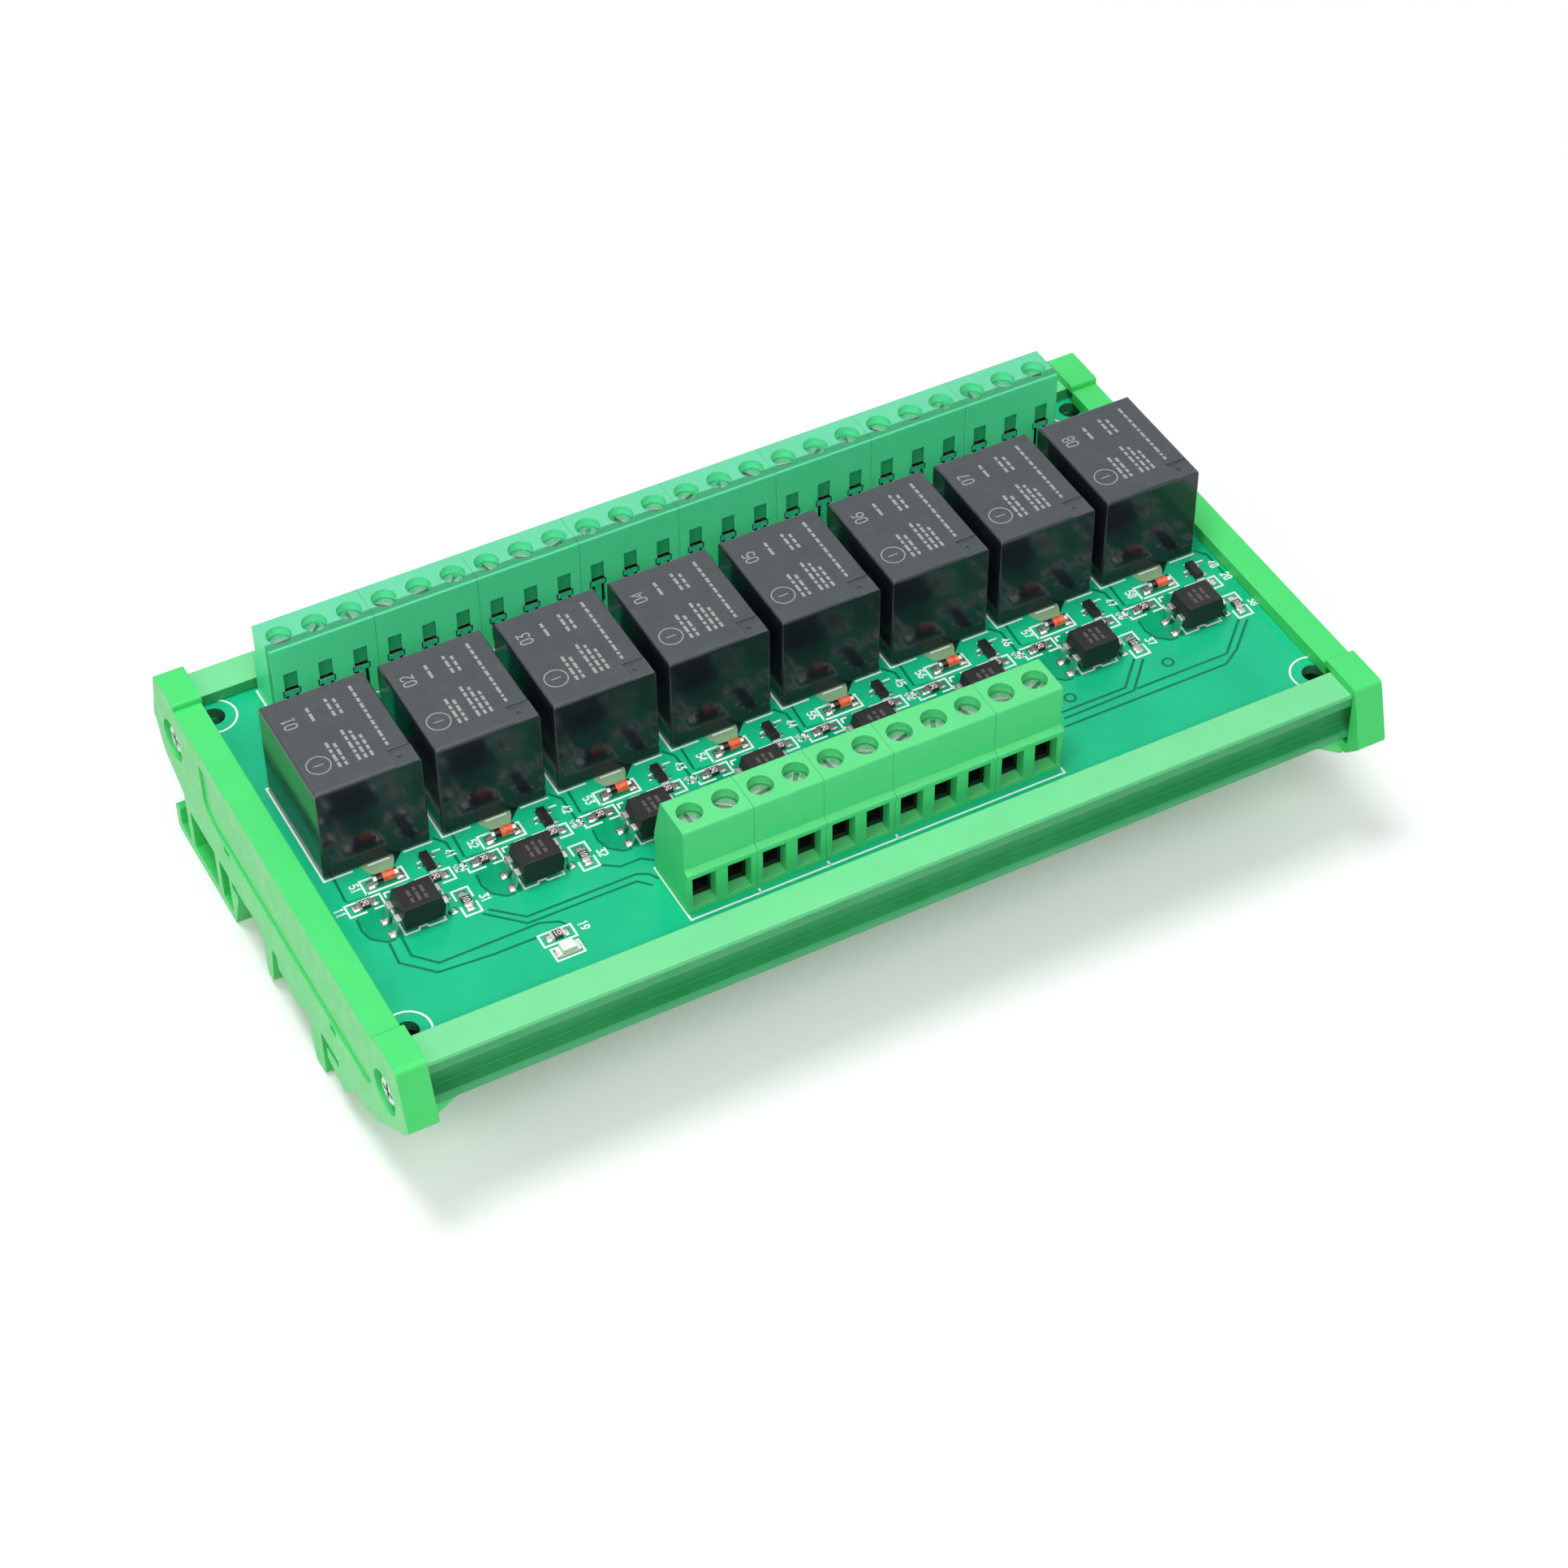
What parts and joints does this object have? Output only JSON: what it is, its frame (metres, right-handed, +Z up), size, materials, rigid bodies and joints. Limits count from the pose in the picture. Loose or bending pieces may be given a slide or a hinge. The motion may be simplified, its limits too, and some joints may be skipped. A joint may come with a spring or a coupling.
{
  "type": "relay interface module on a rail carrier",
  "caption": "Relay interface board in a plastic tray with moulded end elements and feet for a 35 mm rail, with relays, screw terminals and small parts.",
  "frame": {"origin": "centre of the module's outline, on the surface that its feet stand on", "axes": "+X along the module's length, +Y towards the relay contact terminals, +Z up out of the board's component side"},
  "size_m": [0.1456, 0.0854, 0.0411],
  "materials": {
    "tray_plastic": "satin extruded plastic, pale green, faint lengthwise drawing lines",
    "end_plastic": "satin moulded plastic, bright green",
    "board_laminate": "green solder mask over copper, glossy",
    "relay_plastic": "dark grey moulded plastic, satin",
    "coil_copper": "enamelled copper winding",
    "spring_bronze": "bronze spring strip",
    "relay_iron": "nickel-plated iron",
    "tinned_metal": "bright tin plate",
    "plated_steel": "zinc-plated steel",
    "rear_terminal_plastic": "satin moulded plastic, green",
    "front_terminal_plastic": "satin moulded plastic, green",
    "component_black": "black moulding compound",
    "diode_glass": "tinted glass with a dark band",
    "led_lens": "milky white resin",
    "resistor_body": "black coated ceramic with bright ends"
  },
  "bodies": {
    "root": {"carrier_tray": "tray_plastic", "end_element_left": "end_plastic", "end_element_right": "end_plastic", "end_screws": "plated_steel", "circuit_board": "board_laminate", "relay_cover_1": "relay_plastic", "relay_cover_2": "relay_plastic", "relay_cover_3": "relay_plastic", "relay_cover_4": "relay_plastic", "relay_cover_5": "relay_plastic", "relay_cover_6": "relay_plastic", "relay_cover_7": "relay_plastic", "relay_cover_8": "relay_plastic", "relay_bases": "relay_plastic", "relay_coils": "coil_copper", "relay_yokes": "relay_iron", "relay_armatures": "relay_iron", "relay_contact_springs": "spring_bronze", "relay_pins": "tinned_metal", "rear_terminal_1": "rear_terminal_plastic", "rear_terminal_2": "rear_terminal_plastic", "rear_terminal_3": "rear_terminal_plastic", "rear_terminal_4": "rear_terminal_plastic", "rear_terminal_5": "rear_terminal_plastic", "rear_terminal_6": "rear_terminal_plastic", "rear_terminal_7": "rear_terminal_plastic", "rear_terminal_8": "rear_terminal_plastic", "rear_terminal_screws": "plated_steel", "rear_terminal_clamps": "plated_steel", "rear_terminal_contacts": "tinned_metal", "front_terminal_1": "front_terminal_plastic", "front_terminal_2": "front_terminal_plastic", "front_terminal_3": "front_terminal_plastic", "front_terminal_4": "front_terminal_plastic", "front_terminal_5": "front_terminal_plastic", "front_terminal_screws": "plated_steel", "front_terminal_clamps": "plated_steel", "front_terminal_contacts": "tinned_metal", "optocoupler_1": "component_black", "optocoupler_2": "component_black", "optocoupler_3": "component_black", "optocoupler_4": "component_black", "optocoupler_5": "component_black", "optocoupler_6": "component_black", "optocoupler_7": "component_black", "optocoupler_8": "component_black", "optocoupler_leads": "tinned_metal", "diode_glass": "diode_glass", "diode_caps": "tinned_metal", "transistor_bodies": "component_black", "transistor_leads": "tinned_metal", "channel_resistors": "resistor_body", "base_resistors": "resistor_body", "input_resistors": "resistor_body", "power_led": "led_lens", "power_resistor": "resistor_body"}
  },
  "joints": []
}
